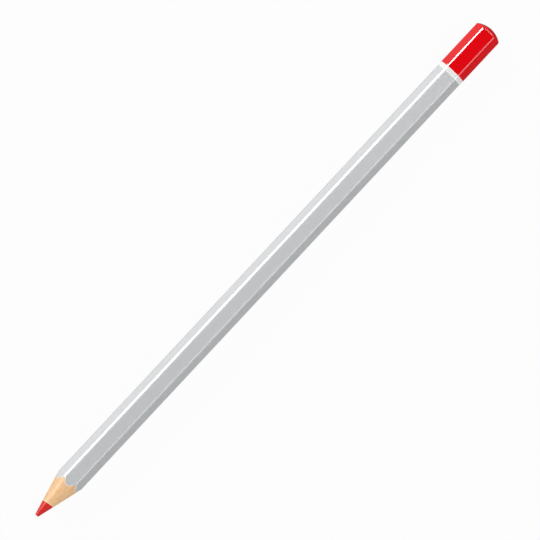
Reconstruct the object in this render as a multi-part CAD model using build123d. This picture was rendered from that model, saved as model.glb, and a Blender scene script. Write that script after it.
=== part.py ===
from build123d import *
import os
from math import cos, radians, tan

# A wood-cased marking pencil that lies on one facet of its hexagon, in millimetres.
# +X runs from the sharpened point to the dipped end and +Z is up. The origin lies on the
# surface under the pencil, at the middle of its length and width.

# Overall sizes
LENGTH = 175.0  # from the blunt point to the crown of the dipped end
ACROSS_FLATS = 7.0  # hexagon over the silver lacquer
EDGE_RADIUS = 1.3  # the six long edges, over the silver lacquer

# Core and glue
CORE_DIAMETER = 3.3
CORE_GLUE = 0.065  # glue between the core and its groove
SEAM_GLUE = 0.05  # glue between the two slats

# Finish films
PRIMER_FILM = 0.04
SILVER_FILM = 0.04
WHITE_FILM = 0.03
RED_FILM = 0.04

# Dipped end
RED_DIP_LENGTH = 15.15  # from the edge of the red to its crown
RING_WIDTH = 1.36  # white that the red leaves showing
DOME_HEIGHT = 1.28  # rise of the turned end, from the long edges to the crown
RIM_RADIUS = 0.35  # rounding between the facets and the dome

# Sharpened point
POINT_ANGLE = 29.2  # whole angle of the cone
TIP_DIAMETER = 1.02  # blunt end of the point
TIP_ROUNDING = 0.15
POINT_OFFSET = 0.07  # the sharpener's axis stands this far from the core's, towards +Y

# Each surface of the hexagon is named by how far it stands out from the silver one.
WOOD_LEVEL = -(SILVER_FILM + PRIMER_FILM)
PRIMER_LEVEL = -SILVER_FILM
SILVER_LEVEL = 0.0
WHITE_LEVEL = WHITE_FILM
RED_LEVEL = WHITE_FILM + RED_FILM

# Places along the pencil
TIP_X = -LENGTH / 2
CROWN_X = LENGTH / 2
CASE_END_X = CROWN_X - RED_LEVEL
RED_EDGE_X = CROWN_X - RED_DIP_LENGTH
WHITE_EDGE_X = RED_EDGE_X - RING_WIDTH

# Places across the pencil
AXIS_Z = ACROSS_FLATS / 2 + RED_LEVEL
CORE_RADIUS = CORE_DIAMETER / 2
GROOVE_RADIUS = CORE_RADIUS + CORE_GLUE
FACET_HALF_ANGLE = radians(30)  # seen from the axis, from the middle of a facet to an edge
CORNER_RADIUS = (ACROSS_FLATS / 2 - EDGE_RADIUS) / cos(FACET_HALF_ANGLE) + EDGE_RADIUS
DOME_RADIUS = (DOME_HEIGHT**2 + CORNER_RADIUS**2) / (2 * DOME_HEIGHT)

# A cutting shape reaches past the pencil by this much on every side.
SPARE = 1.0
REACH = CORNER_RADIUS + RED_LEVEL + SPARE


def hexagon(level):
    # Rounded hexagon with a facet below and one above.
    outline = RegularPolygon(ACROSS_FLATS / 2 + level, 6, major_radius=False)
    return fillet(outline.vertices(), EDGE_RADIUS + level)


def bar(section, start_x, end_x):
    # A section drawn across the pencil, carried along it.
    across = Plane(origin=(start_x, 0, AXIS_Z), x_dir=(0, 1, 0), z_dir=(1, 0, 0))
    return extrude(across * section, end_x - start_x)


def sharpened_space():
    # What the sharpener leaves: a cone with a blunt, slightly rounded end.
    tip_radius = TIP_DIAMETER / 2
    cone_length = (REACH - tip_radius) / tan(radians(POINT_ANGLE / 2))
    tip_corner = (TIP_X, tip_radius)
    half = make_face(
        Polyline(
            (TIP_X, 0),
            tip_corner,
            (TIP_X + cone_length, REACH),
            (CROWN_X + SPARE, REACH),
            (CROWN_X + SPARE, 0),
            close=True,
        )
    )
    half = fillet(half.vertices().sort_by_distance((*tip_corner, 0))[0], TIP_ROUNDING)
    return Pos(0, POINT_OFFSET, AXIS_Z) * revolve(Plane.XZ * half, Axis.X)


def turned_end(level):
    # The hexagonal bar with its end turned to a dome and its rim rounded.
    dome_middle = CASE_END_X - DOME_RADIUS
    dome_radius = DOME_RADIUS + level
    crown_arc = CenterArc((dome_middle, 0), dome_radius, 0, 90)
    straight_sides = Polyline(
        (dome_middle, dome_radius),
        (TIP_X - SPARE, dome_radius),
        (TIP_X - SPARE, 0),
        (dome_middle + dome_radius, 0),
    )
    half = make_face([crown_arc, straight_sides])
    dome = Pos(0, 0, AXIS_Z) * revolve(Plane.XZ * half, Axis.X)
    blank = bar(hexagon(level), TIP_X, CROWN_X + SPARE) & dome
    crown_face = blank.faces().filter_by(GeomType.SPHERE)[0]
    return fillet(crown_face.edges(), RIM_RADIUS + level)


def space_behind(start_x):
    # Everything from one place along the pencil to past its dipped end.
    from_here = (Align.MIN, Align.CENTER, Align.CENTER)
    return Pos(start_x, 0, AXIS_Z) * Box(LENGTH, 2 * REACH, 2 * REACH, align=from_here)


# Shapes that the pieces share
case_blank = turned_end(SILVER_LEVEL) & sharpened_space()
wood_bar = bar(hexagon(WOOD_LEVEL), TIP_X, CROWN_X)
primer_bar = bar(hexagon(PRIMER_LEVEL), TIP_X, CROWN_X)
core_bar = bar(Circle(CORE_RADIUS), TIP_X, CROWN_X)
groove_bar = bar(Circle(GROOVE_RADIUS), TIP_X, CROWN_X)
seam_slab = Pos(0, 0, AXIS_Z) * Box(LENGTH, 2 * REACH, SEAM_GLUE)
left_space = Pos(0, REACH / 2, AXIS_Z) * Box(LENGTH, REACH, 2 * REACH)
upper_space = Pos(0, 0, AXIS_Z + REACH / 2) * Box(LENGTH, 2 * REACH, REACH)

# Case: two grooved slats and the glue between them
grooved_case = (wood_bar & case_blank) - groove_bar
slats = grooved_case - seam_slab
seam = grooved_case & seam_slab

# Dips: each film covers what lies beneath it
white_end = turned_end(WHITE_LEVEL)
red_end = turned_end(RED_LEVEL)

pieces = {
    "upper_case_half": slats & upper_space,
    "lower_case_half": slats - upper_space,
    "marking_core": core_bar & case_blank,
    "core_glue_sleeve": (groove_bar - core_bar) & case_blank,
    "seam_glue_left": seam & left_space,
    "seam_glue_right": seam - left_space,
    "primer_coat": (primer_bar - wood_bar) & case_blank,
    "silver_lacquer": case_blank - primer_bar,
    "white_dip_coat": (white_end & space_behind(WHITE_EDGE_X)) - case_blank,
    "red_dip_coat": (red_end & space_behind(RED_EDGE_X)) - white_end,
}

os.makedirs("parts", exist_ok=True)
for name, piece in pieces.items():
    export_step(piece, f"parts/{name}.step")
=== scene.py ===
import math

import bmesh
import bpy
import numpy as np
from mathutils import Matrix, Vector, noise


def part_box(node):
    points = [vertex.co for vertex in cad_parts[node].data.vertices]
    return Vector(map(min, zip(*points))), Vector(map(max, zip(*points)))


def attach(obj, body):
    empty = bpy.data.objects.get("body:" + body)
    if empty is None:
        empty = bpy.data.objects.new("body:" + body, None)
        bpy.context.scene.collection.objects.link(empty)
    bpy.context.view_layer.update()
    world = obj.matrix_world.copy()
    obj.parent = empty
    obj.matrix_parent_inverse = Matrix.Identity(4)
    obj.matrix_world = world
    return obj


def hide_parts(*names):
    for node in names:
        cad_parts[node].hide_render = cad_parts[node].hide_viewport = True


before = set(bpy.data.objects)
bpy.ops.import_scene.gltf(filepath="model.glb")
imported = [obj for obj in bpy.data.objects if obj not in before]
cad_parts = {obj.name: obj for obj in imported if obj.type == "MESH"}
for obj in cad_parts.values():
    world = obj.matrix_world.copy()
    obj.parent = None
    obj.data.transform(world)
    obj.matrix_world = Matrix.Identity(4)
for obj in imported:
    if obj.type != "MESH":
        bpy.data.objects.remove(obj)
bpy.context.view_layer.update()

mm = 0.001
print("frame loaded:", len(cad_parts), "nodes")

# Sizes read from the frame. The pencil lies along x, and sections are drawn in y and z about the core.
silverLow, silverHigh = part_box("silver_lacquer")
redLow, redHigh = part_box("red_dip_coat")
coreLow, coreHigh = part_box("marking_core")
glueLow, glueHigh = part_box("seam_glue_left")
axisZ = (redLow.z + redHigh.z) / 2
tipX = coreLow.x
caseEndX = coreHigh.x
redEdgeX = redLow.x
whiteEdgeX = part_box("white_dip_coat")[0].x
coreRadius = axisZ - coreLow.z
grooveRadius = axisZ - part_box("core_glue_sleeve")[0].z
seamHalf = (glueHigh.z - glueLow.z) / 2
facetHalf = axisZ - silverLow.z            # from the core's middle to a silver facet
cornerHalf = silverHigh.y                  # and to a rounded silver edge
halfTurn = math.radians(30)                # from the middle of a facet to an edge
edgeRadius = (facetHalf - cornerHalf * math.cos(halfTurn)) / (1 - math.cos(halfTurn))


def levelOf(node):
    # how far a film stands out from the silver facets
    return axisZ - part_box(node)[0].z - facetHalf


woodLevel = levelOf("lower_case_half")
primerLevel = levelOf("primer_coat")
silverLevel = 0.0
whiteLevel = levelOf("white_dip_coat")
redLevel = levelOf("red_dip_coat")


# Meshes are grown ring by ring
def newRings():
    return {"points": [], "faces": []}


def addRing(rings, x, places):
    # one ring of points across the pencil, returned as their numbers
    first = len(rings["points"])
    along = np.broadcast_to(x, len(places))
    rings["points"] += [(a, p[0], axisZ + p[1]) for a, p in zip(along, places)]
    return list(range(first, len(rings["points"])))


def addBand(rings, first, second, closed=True):
    # faces between two rings
    count = len(first)
    for i in range(count if closed else count - 1):
        j = (i + 1) % count
        rings["faces"].append((first[i], first[j], second[j], second[i]))


def addBands(rings, many, closed=True):
    for first, second in zip(many, many[1:]):
        addBand(rings, first, second, closed)


def addFan(rings, ring, x, y=0.0):
    # closes a ring to one point, level with the core's middle
    middle = len(rings["points"])
    rings["points"].append((x, y, axisZ))
    for a, b in zip(ring, ring[1:] + ring[:1]):
        rings["faces"].append((a, b, middle))


def makePiece(name, rings, finish, node, sharpAngle):
    mesh = bpy.data.meshes.new(name)
    mesh.from_pydata(rings["points"], [], rings["faces"])
    work = bmesh.new()
    work.from_mesh(mesh)
    bmesh.ops.recalc_face_normals(work, faces=work.faces)
    work.to_mesh(mesh)
    work.free()
    mesh.shade_smooth()
    mesh.set_sharp_from_angle(angle=math.radians(sharpAngle))
    mesh.materials.append(finish)
    piece = bpy.data.objects.new(name, mesh)
    bpy.context.scene.collection.objects.link(piece)
    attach(piece, "root")
    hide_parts(node)
    print("made", name, "with", len(mesh.polygons), "faces")


# Finishes are node trees
def paint(red, green, blue):
    # a colour as it looks on screen, 0 to 255, turned linear by the sRGB curve for the shader
    def linear(value):
        share = value / 255
        return share / 12.92 if share <= 0.04045 else ((share + 0.055) / 1.055) ** 2.4

    return (linear(red), linear(green), linear(blue), 1.0)


def newFinish(name):
    finish = bpy.data.materials.new(name)
    finish.use_nodes = True
    return finish, finish.node_tree.nodes["Principled BSDF"]


def setShader(shader, values):
    for name, value in values.items():
        shader.inputs[name].default_value = value


def addNode(finish, kind, inputs=None, **options):
    node = finish.node_tree.nodes.new("ShaderNode" + kind)
    for name, value in options.items():
        setattr(node, name, value)
    setShader(node, inputs or {})
    return node


def setGloss(shader, weight, roughness, index):
    # a clear glossy film over the colour
    setShader(shader, {"Coat Weight": weight, "Coat Roughness": roughness, "Coat IOR": index})


def wire(finish, source, target):
    finish.node_tree.links.new(source, target)


def feed(finish, value, socket):
    # a socket takes another node's output, or a plain value
    if isinstance(value, bpy.types.NodeSocket):
        wire(finish, value, socket)
    else:
        socket.default_value = value


def grainNoise(finish, along, across, detail=2.0, roughness=0.5):
    # noise whose grains are this long and wide
    place = addNode(finish, "TexCoord")
    stretch = addNode(finish, "Mapping", {"Scale": (1 / along, 1 / across, 1 / across)})
    texture = addNode(finish, "TexNoise", {"Scale": 1.0, "Detail": detail, "Roughness": roughness})
    wire(finish, place.outputs["Object"], stretch.inputs["Vector"])
    wire(finish, stretch.outputs["Vector"], texture.inputs["Vector"])
    return texture.outputs["Fac"]


def ramp(finish, source, stops):
    # colours picked along a value
    node = addNode(finish, "ValToRGB")
    bar = node.color_ramp.elements
    while len(bar) < len(stops):
        bar.new(0.5)
    for element, (position, colour) in zip(bar, stops):
        element.position = position
        element.color = colour
    wire(finish, source, node.inputs["Fac"])
    return node.outputs["Color"]


def spread(finish, source, low, high, fromLow=0.3, fromHigh=0.7):
    # a value carried over to another range; noise mostly lies between 0.3 and 0.7
    limits = {"From Min": fromLow, "From Max": fromHigh, "To Min": low, "To Max": high}
    node = addNode(finish, "MapRange", limits)
    wire(finish, source, node.inputs["Value"])
    return node.outputs["Result"]


colourSockets = {"share": 0, "first": 6, "second": 7, "result": 2}     # of a Mix node set to colours


def mixColour(finish, share, first, second):
    node = addNode(finish, "Mix", data_type="RGBA")
    for name, value in (("share", share), ("first", first), ("second", second)):
        feed(finish, value, node.inputs[colourSockets[name]])
    return node.outputs[colourSockets["result"]]


def mixValue(finish, share, first, second):
    node = addNode(finish, "Mix", data_type="FLOAT")
    for name, value in (("Factor", share), ("A", first), ("B", second)):
        feed(finish, value, node.inputs[name])
    return node.outputs["Result"]


def maths(finish, operation, first, second):
    node = addNode(finish, "Math", operation=operation)
    feed(finish, first, node.inputs[0])
    feed(finish, second, node.inputs[1])
    return node.outputs["Value"]


def addBumps(finish, shader, heights):
    # relief from several height values, each with its own depth in metres
    below = None
    for source, depth in heights:
        bump = addNode(finish, "Bump", {"Strength": 1.0, "Distance": depth})
        wire(finish, source, bump.inputs["Height"])
        if below:
            wire(finish, below.outputs["Normal"], bump.inputs["Normal"])
        below = bump
    wire(finish, below.outputs["Normal"], shader.inputs["Normal"])


silver = {
    "flakeSize": 0.045 * mm,
    "flakeDark": paint(209, 212, 215),
    "flakeLight": paint(223, 225, 227),
    "flakeDepth": 0.00015 * mm,
    "streakLong": 12 * mm,
    "streakWide": 0.25 * mm,
    "rough": (0.56, 0.60),
    "peelSize": 1.1 * mm,
    "peelDepth": 0.0004 * mm,
    "metal": 0.45,
    "sheen": 0.2,
    "glossWeight": 0.8,
    "gloss": 0.2,
    "glossIndex": 2.0,
}


def silverFinish():
    finish, shader = newFinish("silverLacquer")
    place = addNode(finish, "TexCoord")
    flakes = addNode(finish, "TexVoronoi", {"Scale": 1 / silver["flakeSize"]})
    wire(finish, place.outputs["Object"], flakes.inputs["Vector"])
    glint = addNode(finish, "SeparateColor")
    wire(finish, flakes.outputs["Color"], glint.inputs["Color"])
    flakeStops = [(0.0, silver["flakeDark"]), (1.0, silver["flakeLight"])]
    wire(finish, ramp(finish, glint.outputs["Red"], flakeStops), shader.inputs["Base Color"])
    streaks = grainNoise(finish, silver["streakLong"], silver["streakWide"])
    wire(finish, spread(finish, streaks, *silver["rough"]), shader.inputs["Roughness"])
    peel = grainNoise(finish, silver["peelSize"], silver["peelSize"])
    heights = [(peel, silver["peelDepth"]), (glint.outputs["Green"], silver["flakeDepth"])]
    addBumps(finish, shader, heights)
    setShader(shader, {"Metallic": silver["metal"], "Specular IOR Level": silver["sheen"]})
    setGloss(shader, silver["glossWeight"], silver["gloss"], silver["glossIndex"])
    return finish


dips = {
    "red": paint(237, 1, 15),
    "redDeep": paint(232, 1, 13),
    "white": paint(246, 246, 245),
    "whiteDull": paint(243, 243, 241),
    "mottleSize": 1.4 * mm,
    "mottleDetail": 3.0,
    "deepAt": 0.35,
    "lightAt": 0.65,
    "peelSize": 0.9 * mm,
    "peelDepth": 0.0003 * mm,
    "rough": (0.35, 0.45),
    "sheen": 0.0,            # all the shine is in the gloss
    "glossWeight": 0.9,
    "gloss": 0.14,
    "glossIndex": 2.0,
}


def dipFinish(name, light, deep):
    finish, shader = newFinish(name)
    mottle = grainNoise(finish, dips["mottleSize"], dips["mottleSize"], dips["mottleDetail"])
    mottleStops = [(dips["deepAt"], deep), (dips["lightAt"], light)]
    wire(finish, ramp(finish, mottle, mottleStops), shader.inputs["Base Color"])
    wire(finish, spread(finish, mottle, *dips["rough"]), shader.inputs["Roughness"])
    peel = grainNoise(finish, dips["peelSize"], dips["peelSize"])
    addBumps(finish, shader, [(peel, dips["peelDepth"])])
    setShader(shader, {"Specular IOR Level": dips["sheen"]})
    setGloss(shader, dips["glossWeight"], dips["gloss"], dips["glossIndex"])
    return finish


wood = {
    "pale": paint(244, 206, 158),
    "tan": paint(238, 187, 131),
    "fibre": paint(231, 167, 104),
    "pore": paint(200, 124, 74),
    "bandWide": 0.5 * mm,
    "bandLong": 26 * mm,
    "tanAt": 0.36,
    "paleAt": 0.62,
    "fibreWide": 0.11 * mm,
    "fibreLong": 5 * mm,
    "fibreDetail": 3.0,
    "fibreRoughness": 0.6,
    "fibreFrom": (0.42, 0.75),     # noise values where the fibre colour starts and is full
    "fibreShare": 0.5,             # how far it then covers the wood
    "fibreDepth": 0.003 * mm,
    "poreWide": 0.06 * mm,
    "poreLong": 0.7 * mm,
    "poreDetail": 1.0,
    "poreFrom": (0.62, 0.78),
    "poreShare": 0.4,
    "poreDepth": 0.005 * mm,
    "rough": (0.46, 0.38),
    "sheen": 1.0,
}


def woodFinish():
    finish, shader = newFinish("casewood")
    bands = grainNoise(finish, wood["bandLong"], wood["bandWide"])
    fibreGrain = (wood["fibreLong"], wood["fibreWide"], wood["fibreDetail"], wood["fibreRoughness"])
    fibres = grainNoise(finish, *fibreGrain)
    pores = grainNoise(finish, wood["poreLong"], wood["poreWide"], wood["poreDetail"])
    body = ramp(finish, bands, [(wood["tanAt"], wood["tan"]), (wood["paleAt"], wood["pale"])])
    fibreShare = spread(finish, fibres, 0.0, wood["fibreShare"], *wood["fibreFrom"])
    poreShare = spread(finish, pores, 0.0, wood["poreShare"], *wood["poreFrom"])
    withFibres = mixColour(finish, fibreShare, body, wood["fibre"])
    wire(finish, mixColour(finish, poreShare, withFibres, wood["pore"]), shader.inputs["Base Color"])
    wire(finish, spread(finish, fibres, *wood["rough"]), shader.inputs["Roughness"])
    addBumps(finish, shader, [(fibres, wood["fibreDepth"]), (poreShare, -wood["poreDepth"])])
    setShader(shader, {"Specular IOR Level": wood["sheen"]})
    return finish


wax = {
    "deep": paint(210, 8, 18),
    "body": paint(219, 18, 25),
    "scuff": paint(224, 62, 52),
    "deepAt": 0.32,
    "bodyAt": 0.52,
    "scuffAt": 0.74,
    "streakWide": 0.10 * mm,
    "streakLong": 1.6 * mm,
    "streakDetail": 3.0,
    "streakRoughness": 0.6,
    "streakDepth": 0.002 * mm,
    "speckSize": 0.09 * mm,
    "speckFrom": (0.5, 0.8),
    "speckShare": 0.35,
    "rough": (0.36, 0.44),
    "sheen": 1.0,
    "sheenTint": paint(255, 243, 224),
}


def waxFinish():
    finish, shader = newFinish("redWax")
    streakGrain = (wax["streakLong"], wax["streakWide"], wax["streakDetail"], wax["streakRoughness"])
    streaks = grainNoise(finish, *streakGrain)
    specks = grainNoise(finish, wax["speckSize"], wax["speckSize"])
    body = ramp(finish, streaks, [(wax[tone + "At"], wax[tone]) for tone in ("deep", "body", "scuff")])
    speckShare = spread(finish, specks, 0.0, wax["speckShare"], *wax["speckFrom"])
    wire(finish, mixColour(finish, speckShare, body, wax["deep"]), shader.inputs["Base Color"])
    wire(finish, spread(finish, streaks, *wax["rough"]), shader.inputs["Roughness"])
    addBumps(finish, shader, [(streaks, wax["streakDepth"])])
    setShader(shader, {"Specular IOR Level": wax["sheen"], "Specular Tint": wax["sheenTint"]})
    return finish


films = {
    "primer": (paint(224, 233, 241), paint(212, 223, 233)),
    "coreGlue": (paint(250, 228, 176), paint(238, 208, 146)),
    "seamGlue": (paint(226, 182, 130), paint(206, 156, 104)),
    "darkAt": 0.3,
    "lightAt": 0.7,
    "mottleSize": 0.3 * mm,
    "mottleDetail": 3.0,
    "mottleDepth": 0.004 * mm,
    "rough": 0.55,
}


def filmFinish(name):
    light, dark = films[name]
    finish, shader = newFinish(name)
    mottle = grainNoise(finish, films["mottleSize"], films["mottleSize"], films["mottleDetail"])
    mottleStops = [(films["darkAt"], dark), (films["lightAt"], light)]
    wire(finish, ramp(finish, mottle, mottleStops), shader.inputs["Base Color"])
    addBumps(finish, shader, [(mottle, films["mottleDepth"])])
    setShader(shader, {"Roughness": films["rough"]})
    return finish


print("finishes ready")


# Section of the case: points round the silver hexagon from the +y edge, and the way each faces
outline = {"facetSteps": 20, "edgeSteps": 14, "guard": 0.02}


def around(turns):
    # unit steps out from the core's middle, at these angles
    return np.stack((np.cos(turns), np.sin(turns)), axis=-1)


def hexagonOutline():
    shares = np.linspace(0, 1, outline["facetSteps"] + 1)[1:-1]
    shares = np.concatenate(([outline["guard"]], shares, [1 - outline["guard"]]))[:, None]
    edgeMiddle = (facetHalf - edgeRadius) / math.cos(halfTurn)
    places = []
    facings = []
    for edge in range(6):
        angle = 2 * halfTurn * edge
        arc = around(angle + np.linspace(-halfTurn, halfTurn, outline["edgeSteps"] + 1))
        here = edgeMiddle * around(angle)
        ahead = edgeMiddle * around(angle + 2 * halfTurn)
        places += [here + edgeRadius * arc, here + (ahead - here) * shares + edgeRadius * arc[-1]]
        facings += [arc, np.repeat(arc[-1:], len(shares), axis=0)]
    shift = -(outline["edgeSteps"] // 2)
    return [np.roll(np.concatenate(rows), shift, axis=0) for rows in (places, facings)]


hexPlaces, hexFacings = hexagonOutline()


def section(level):
    return hexPlaces + level * hexFacings


def circle(radius, steps):
    return radius * around(np.linspace(0, 2 * math.pi, steps, endpoint=False))


# The sharpener's cut: a cone with a blunt, rounded end, a little off the core's middle
cut = {"angle": 29.2, "tipRadius": 0.51 * mm, "rounding": 0.15 * mm, "offset": 0.07 * mm}
cutHalf = math.radians(cut["angle"] / 2)
cutSlope = math.tan(cutHalf)


def cutX(places):
    # how far along the pencil the cut lies, at points across it
    away = np.hypot(places[:, 0] - cut["offset"], places[:, 1])
    arcMiddle = cut["tipRadius"] - cut["rounding"] * (1 - math.sin(cutHalf)) / math.cos(cutHalf)
    arcEnd = arcMiddle + cut["rounding"] * math.cos(cutHalf)
    onArc = np.clip(away - arcMiddle, 0, arcEnd - arcMiddle)
    arcX = tipX + cut["rounding"] - np.sqrt(cut["rounding"] ** 2 - onArc**2)
    return np.where(away > arcEnd, tipX + (away - cut["tipRadius"]) / cutSlope, arcX)


def relief(x, places, along, across):
    # smooth repeatable noise with long grains
    spots = zip(np.broadcast_to(x, len(places)), places)
    return np.array([noise.noise(Vector((a / along, p[0] / across, p[1] / across))) for a, p in spots])


core = {
    "columns": 132,
    "rings": 44,
    "hiddenEnd": 0.6 * mm,      # stops this far inside the dipped end
    "streakWide": 0.16 * mm,
    "streakLong": 2.2 * mm,
    "streakDepth": 0.006 * mm,
    "streakFade": 1 / 8,        # share of the radius where streaks die out, next to the glue
    "wear": 0.02 * mm,
    "wearSize": 0.22 * mm,
    "wearReach": 1 / 3,         # share of the radius that is worn, at the tip
    "sharpAngle": 40,
    "glueSharpAngle": 30,
}
coreEndX = caseEndX - core["hiddenEnd"]


def makeCore():
    rings = newRings()
    many = []
    for share in np.linspace(0, 1, core["rings"] + 1)[1:]:
        places = circle(coreRadius * share, core["columns"])
        places[:, 0] += cut["offset"] * (1 - share)
        x = cutX(places)
        fade = min(1.0, (1 - share) / core["streakFade"])
        streaks = core["streakDepth"] * relief(x, places, core["streakLong"], core["streakWide"])
        worn = core["wear"] * max(0.0, 1 - share / core["wearReach"])
        blunt = np.abs(worn * relief(0.0, places, 1.0, core["wearSize"]))
        x = np.maximum(tipX, x + fade * streaks / cutSlope + blunt)
        many.append(addRing(rings, x, places))
    many.append(addRing(rings, coreEndX, circle(coreRadius, core["columns"])))
    addBands(rings, many)
    addFan(rings, many[0], tipX + core["wear"] / 2, cut["offset"])
    addFan(rings, many[-1], coreEndX)
    makePiece("markingCore", rings, waxFinish(), "marking_core", core["sharpAngle"])


def makeGlueSleeve():
    rings = newRings()
    inside = circle(coreRadius, core["columns"])
    outside = circle(grooveRadius, core["columns"])
    middle = (inside + outside) / 2
    loop = [addRing(rings, cutX(places), places) for places in (inside, middle, outside)]
    loop += [addRing(rings, coreEndX, places) for places in (outside, inside)]
    addBands(rings, loop + loop[:1])
    finish = filmFinish("coreGlue")
    makePiece("coreGlueSleeve", rings, finish, "core_glue_sleeve", core["glueSharpAngle"])


# Turned end of the case: a dome, with a rounded rim where it meets the facets
dome = {
    "rise": 1.28 * mm,
    "rim": 0.35 * mm,
    "rimRings": 8,
    "domeRings": 16,
}
domeRadius = (dome["rise"] ** 2 + cornerHalf**2) / (2 * dome["rise"])
domeMiddle = caseEndX - domeRadius
shankEndX = domeMiddle + math.sqrt((domeRadius - dome["rim"]) ** 2 - (cornerHalf - dome["rim"]) ** 2)


case = {
    "cutRings": 52,
    "grainWide": 0.17 * mm,
    "grainLong": 3.5 * mm,
    "grainDepth": 0.010 * mm,
    "grainFade": 12,            # how fast the grain rises from the glue and from the paint
    "sharpAngle": 30,
}


def makeCaseHalf(name, node, side, finish):
    # a slat from its cut cone to the dipped end, with its groove and glued faces
    half = len(hexPlaces) // 2
    columns = np.arange(half + 1) if side > 0 else (np.arange(half + 1) + half) % len(hexPlaces)
    outer = section(woodLevel)[columns]
    inner = grooveRadius * around(np.arctan2(outer[:, 1], outer[:, 0]))
    for edge in (0, -1):
        outer[edge, 1] = side * seamHalf
        inner[edge, 1] = side * seamHalf
    rings = newRings()
    outside = []
    for share in np.linspace(0, 1, case["cutRings"] + 1):
        places = inner + (outer - inner) * share
        x = cutX(places)
        fade = min(1.0, case["grainFade"] * share * (1 - share))
        grain = case["grainDepth"] * relief(x, places, case["grainLong"], case["grainWide"])
        outside.append(addRing(rings, x + fade * grain / cutSlope, places))
    outside.append(addRing(rings, shankEndX, outer))
    groove = [outside[0], addRing(rings, shankEndX, inner)]
    addBands(rings, outside, closed=False)
    addBands(rings, groove, closed=False)
    addBand(rings, outside[-1], groove[-1], closed=False)
    for edge in (0, -1):
        rings["faces"].append([ring[edge] for ring in outside] + [groove[-1][edge]])
    makePiece(name, rings, finish, node, case["sharpAngle"])


coats = {
    "primerRings": 12,
    "silverRings": 90,
    "chipSize": 0.30 * mm,
    "chipDepth": 0.05 * mm,
    "sharpAngle": 10,
}


def makeCoat(name, node, finish, inner, outer, ringCount):
    # a film round the case, cut back by the sharpener, with small chips along the cut
    rings = newRings()
    inside = section(inner)
    outside = section(outer)
    startIn = cutX(inside)
    chips = np.clip(relief(outer / mm, outside, 1.0, coats["chipSize"]), 0, 1)
    startOut = cutX(outside) + coats["chipDepth"] * chips
    shares = np.linspace(0, 1, ringCount + 1)
    outerRings = [addRing(rings, startOut + (shankEndX - startOut) * share, outside) for share in shares]
    innerRings = [addRing(rings, x, inside) for x in (startIn, shankEndX)]
    addBands(rings, outerRings)
    addBands(rings, innerRings)
    addBand(rings, innerRings[0], outerRings[0])
    addBand(rings, innerRings[1], outerRings[-1])
    makePiece(name, rings, finish, node, coats["sharpAngle"])


dipEdge = {
    "outsideRings": 40,
    "insideRings": 2,
    "lipRings": 5,
    "wave": 0.02 * mm,
    "waveSize": 2.5 * mm,
    "sharpAngle": 20,
}


def domedWall(rings, level, startX, wallRings):
    # rings from startX along the facets, round the rim and up the dome, with its crown
    wall = section(level)
    reach = np.hypot(wall[:, 0], wall[:, 1])
    ways = wall / reach[:, None]
    radius = domeRadius + level
    rim = dome["rim"] + level
    rimX = domeMiddle + np.sqrt((radius - rim) ** 2 - (reach - rim) ** 2)
    rimTurn = np.arctan2(rimX - domeMiddle, reach - rim)
    shares = np.linspace(0, 1, wallRings + 1)
    many = [addRing(rings, startX + (rimX - startX) * share, wall) for share in shares]
    for share in np.linspace(0, 1, dome["rimRings"] + 1)[1:]:
        turn = rimTurn * share
        out = (reach - rim) + rim * np.cos(turn)
        many.append(addRing(rings, rimX + rim * np.sin(turn), ways * out[:, None]))
    lastOut = (reach - rim) + rim * np.cos(rimTurn)
    for share in np.linspace(1, 0, dome["domeRings"] + 1)[1:-1]:
        out = lastOut * share
        many.append(addRing(rings, domeMiddle + np.sqrt(radius**2 - out**2), ways * out[:, None]))
    addBands(rings, many)
    addFan(rings, many[-1], domeMiddle + radius)
    return many


def makeDip(name, node, finish, inner, outer, edgeX):
    # a closed film with a rounded, slightly wavy edge
    rings = newRings()
    film = outer - inner
    edge = edgeX + dipEdge["wave"] * (1 + relief(edgeX / mm, hexPlaces, 1.0, dipEdge["waveSize"]))
    outside = domedWall(rings, outer, edge + film, dipEdge["outsideRings"])
    inside = domedWall(rings, inner, edge, dipEdge["insideRings"])
    lip = [inside[0]]
    for turn in np.linspace(0, math.pi / 2, dipEdge["lipRings"] + 1)[1:-1]:
        places = section(inner + film * math.sin(turn))
        lip.append(addRing(rings, edge + film * (1 - math.cos(turn)), places))
    addBands(rings, lip + [outside[0]])
    makePiece(name, rings, finish, node, dipEdge["sharpAngle"])


makeCore()
makeGlueSleeve()
caseWood = woodFinish()
makeCaseHalf("upperCaseHalf", "upper_case_half", 1, caseWood)
makeCaseHalf("lowerCaseHalf", "lower_case_half", -1, caseWood)
primerFinish = filmFinish("primer")
makeCoat("primerCoat", "primer_coat", primerFinish, woodLevel, primerLevel, coats["primerRings"])
makeCoat("silverCoat", "silver_lacquer", silverFinish(), primerLevel, silverLevel, coats["silverRings"])
whiteFinish = dipFinish("whiteLacquer", dips["white"], dips["whiteDull"])
redFinish = dipFinish("redLacquer", dips["red"], dips["redDeep"])
makeDip("whiteDip", "white_dip_coat", whiteFinish, silverLevel, whiteLevel, whiteEdgeX)
makeDip("redDip", "red_dip_coat", redFinish, whiteLevel, redLevel, redEdgeX)

seamFinish = filmFinish("seamGlue")
for seam in ("seam_glue_left", "seam_glue_right"):
    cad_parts[seam].material_slots[0].material = seamFinish
print("pencil assembled")

# Stage
floorLook = {
    "radius": 4.0,
    "sides": 96,
    "pale": paint(206, 206, 206),
    "shade": paint(201, 201, 201),
    "shadeAt": 0.3,
    "paleAt": 0.7,
    "paperSize": 2 * mm,
    "glow": 0.96,               # how far the camera sees it as white
    # painted shade and light for glossy things, as (in the pencil's shade, on the key lamp's side)
    "paintedShadeByPoint": (0.10, 0.48),
    "paintedShadeByShank": (0.31, 0.48),
    "paintedShadeByDip": (0.08, 0.34),
    "paintedShadeWide": 8 * mm,
    "changeWide": 1 * mm,
}


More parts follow.
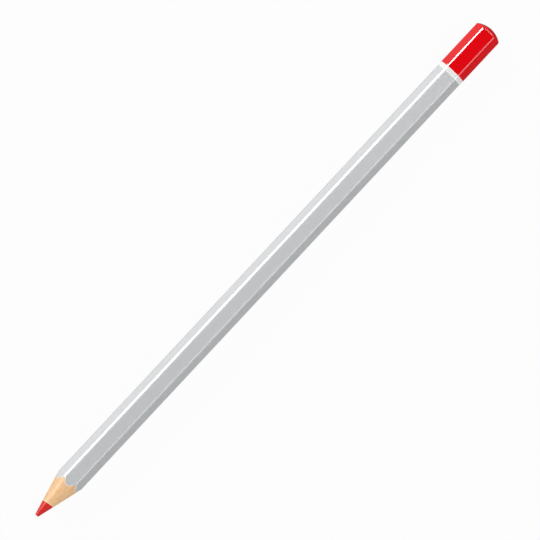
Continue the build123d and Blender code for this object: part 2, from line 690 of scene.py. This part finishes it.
def paintedMirrorShade(finish):
    # painted shade in the floor's glow for glossy things: shade to light across the pencil, and by its
    # parts along it
    place = addNode(finish, "TexCoord")
    split = addNode(finish, "SeparateXYZ")
    wire(finish, place.outputs["Object"], split.inputs["Vector"])
    paintedShadeSpan = (0.0, floorLook["paintedShadeWide"])
    glow = spread(finish, split.outputs["Y"], *floorLook["paintedShadeByPoint"], *paintedShadeSpan)
    for part, startX in (("paintedShadeByShank", silverLow.x), ("paintedShadeByDip", redEdgeX)):
        sides = spread(finish, split.outputs["Y"], *floorLook[part], *paintedShadeSpan)
        change = (startX, startX + floorLook["changeWide"])
        glow = mixValue(finish, spread(finish, split.outputs["X"], 0.0, 1.0, *change), glow, sides)
    return glow


def floorFinish():
    # matt paper for light, white for the camera, and for glossy things a white glow with painted shade
    finish = bpy.data.materials.new("paleFloor")
    finish.use_nodes = True
    finish.node_tree.nodes.clear()
    paper = grainNoise(finish, floorLook["paperSize"], floorLook["paperSize"])
    paperStops = [(floorLook["shadeAt"], floorLook["shade"]), (floorLook["paleAt"], floorLook["pale"])]
    matt = addNode(finish, "BsdfDiffuse")
    wire(finish, ramp(finish, paper, paperStops), matt.inputs["Color"])
    rays = addNode(finish, "LightPath").outputs
    white = addNode(finish, "Emission", {"Color": (1, 1, 1, 1)})
    # the camera sees full white; glossy rays see the painted shade levels
    strength = mixValue(finish, rays["Is Camera Ray"], paintedMirrorShade(finish), 1.0)
    wire(finish, strength, white.inputs["Strength"])
    seen = maths(finish, "MULTIPLY", rays["Is Camera Ray"], floorLook["glow"])
    mirrored = maths(finish, "MAXIMUM", rays["Is Glossy Ray"], rays["Is Transmission Ray"])
    both = addNode(finish, "MixShader")
    wire(finish, maths(finish, "MAXIMUM", seen, mirrored), both.inputs[0])
    wire(finish, matt.outputs["BSDF"], both.inputs[1])
    wire(finish, white.outputs["Emission"], both.inputs[2])
    wire(finish, both.outputs["Shader"], addNode(finish, "OutputMaterial").inputs["Surface"])
    finish.cycles.emission_sampling = "NONE"   # its glow is only seen, and lights nothing
    return finish


def makeFloor():
    mesh = bpy.data.meshes.new("floor")
    work = bmesh.new()
    bmesh.ops.create_circle(work, cap_ends=True, segments=floorLook["sides"], radius=floorLook["radius"])
    work.to_mesh(mesh)
    work.free()
    mesh.materials.append(floorFinish())
    floor = bpy.data.objects.new("floor", mesh)
    bpy.context.scene.collection.objects.link(floor)


# Lamps stand round the pencil; bright is what a white card facing the lamp would read
plainWhite = (1.0, 1.0, 1.0)
lamps = {
    "key": {
        "toward": (0.083, 0.94, 0.34), "distance": 6.0, "long": 1.26, "tall": 3.50,
        "bright": 0.65, "tint": (1.0, 0.985, 0.965),
    },
    "fill": {
        "toward": (0.35, -0.66, 0.67), "distance": 0.9, "long": 1.40, "tall": 0.54,
        "bright": 0.49, "tint": plainWhite,
    },
    "tip": {
        "toward": (-0.43, 0.75, 0.51), "distance": 1.5, "long": 0.40, "tall": 0.40,
        "bright": 0.26, "tint": plainWhite,
    },
    "nose": {
        "toward": (-0.92, -0.36, 0.16), "distance": 2.0, "long": 1.40, "tall": 0.70,
        "bright": 0.72, "tint": plainWhite,
    },
    "dip": {
        "toward": (0.62, 0.06, 0.78), "distance": 1.6, "long": 0.80, "tall": 0.80,
        "bright": 0.38, "tint": plainWhite,
    },
}
nearAxis = 0.5        # past this share of x, a lamp's long side lies across the pencil
worldGrey = 0.015


def makeLamps():
    middle = Vector((0, 0, axisZ))
    for name, lamp in lamps.items():
        data = bpy.data.lights.new(name, "AREA")
        data.shape = "RECTANGLE"
        data.size = lamp["long"]
        data.size_y = lamp["tall"]
        data.color = lamp["tint"]
        data.energy = lamp["bright"] * math.pi**2 * lamp["distance"] ** 2
        toward = Vector(lamp["toward"]).normalized()
        body = bpy.data.objects.new(name, data)
        guide = Vector((1, 0, 0)) if abs(toward.x) < nearAxis else Vector((0, 1, 0))
        side = (guide - toward * guide.dot(toward)).normalized()
        body.matrix_world = Matrix((side, toward.cross(side), toward)).transposed().to_4x4()
        body.location = middle + toward * lamp["distance"]
        body.visible_camera = False
        bpy.context.scene.collection.objects.link(body)
    world = bpy.data.worlds.new("studio")
    world.use_nodes = True
    setShader(world.node_tree.nodes["Background"], {"Color": (worldGrey, worldGrey, worldGrey, 1)})
    bpy.context.scene.world = world


# Camera nearly straight above; the pencil's middle falls on midPixel of the 540 by 540 picture
camera = {
    "distance": 2.0,
    "tilt": 3.75,        # degrees towards +y
    "lean": 2.7,         # degrees towards the point
    "turn": 46.935,      # the pencil's slope in the picture
    "pixel": 0.2626 * mm,
    "picture": 540,
    "midPixel": (264.50, 272.09),
    "sensor": 36.0,      # the lens is worked out from it
}


def makeCamera():
    data = bpy.data.cameras.new("camera")
    data.sensor_width = camera["sensor"]
    data.lens = data.sensor_width * camera["distance"] / (camera["picture"] * camera["pixel"])
    lean = math.tan(math.radians(camera["lean"]))
    tilt = math.tan(math.radians(camera["tilt"]))
    turn = math.radians(camera["turn"])
    back = Vector((-lean, tilt, 1)).normalized()
    along = (Vector((1, 0, 0)) - back * back.x).normalized()
    across = back.cross(along)
    right = along * math.cos(turn) - across * math.sin(turn)
    up = along * math.sin(turn) + across * math.cos(turn)
    centre = camera["picture"] / 2
    aim = Vector((0, 0, axisZ))
    aim += right * (centre - camera["midPixel"][0]) * camera["pixel"]
    aim += up * (camera["midPixel"][1] - centre) * camera["pixel"]
    body = bpy.data.objects.new("camera", data)
    body.matrix_world = Matrix((right, up, back)).transposed().to_4x4()
    body.location = aim + back * camera["distance"]
    bpy.context.scene.collection.objects.link(body)
    bpy.context.scene.camera = body


makeFloor()
makeLamps()
makeCamera()
bpy.context.scene.view_settings.view_transform = "Standard"
print("stage, lamps and camera ready")
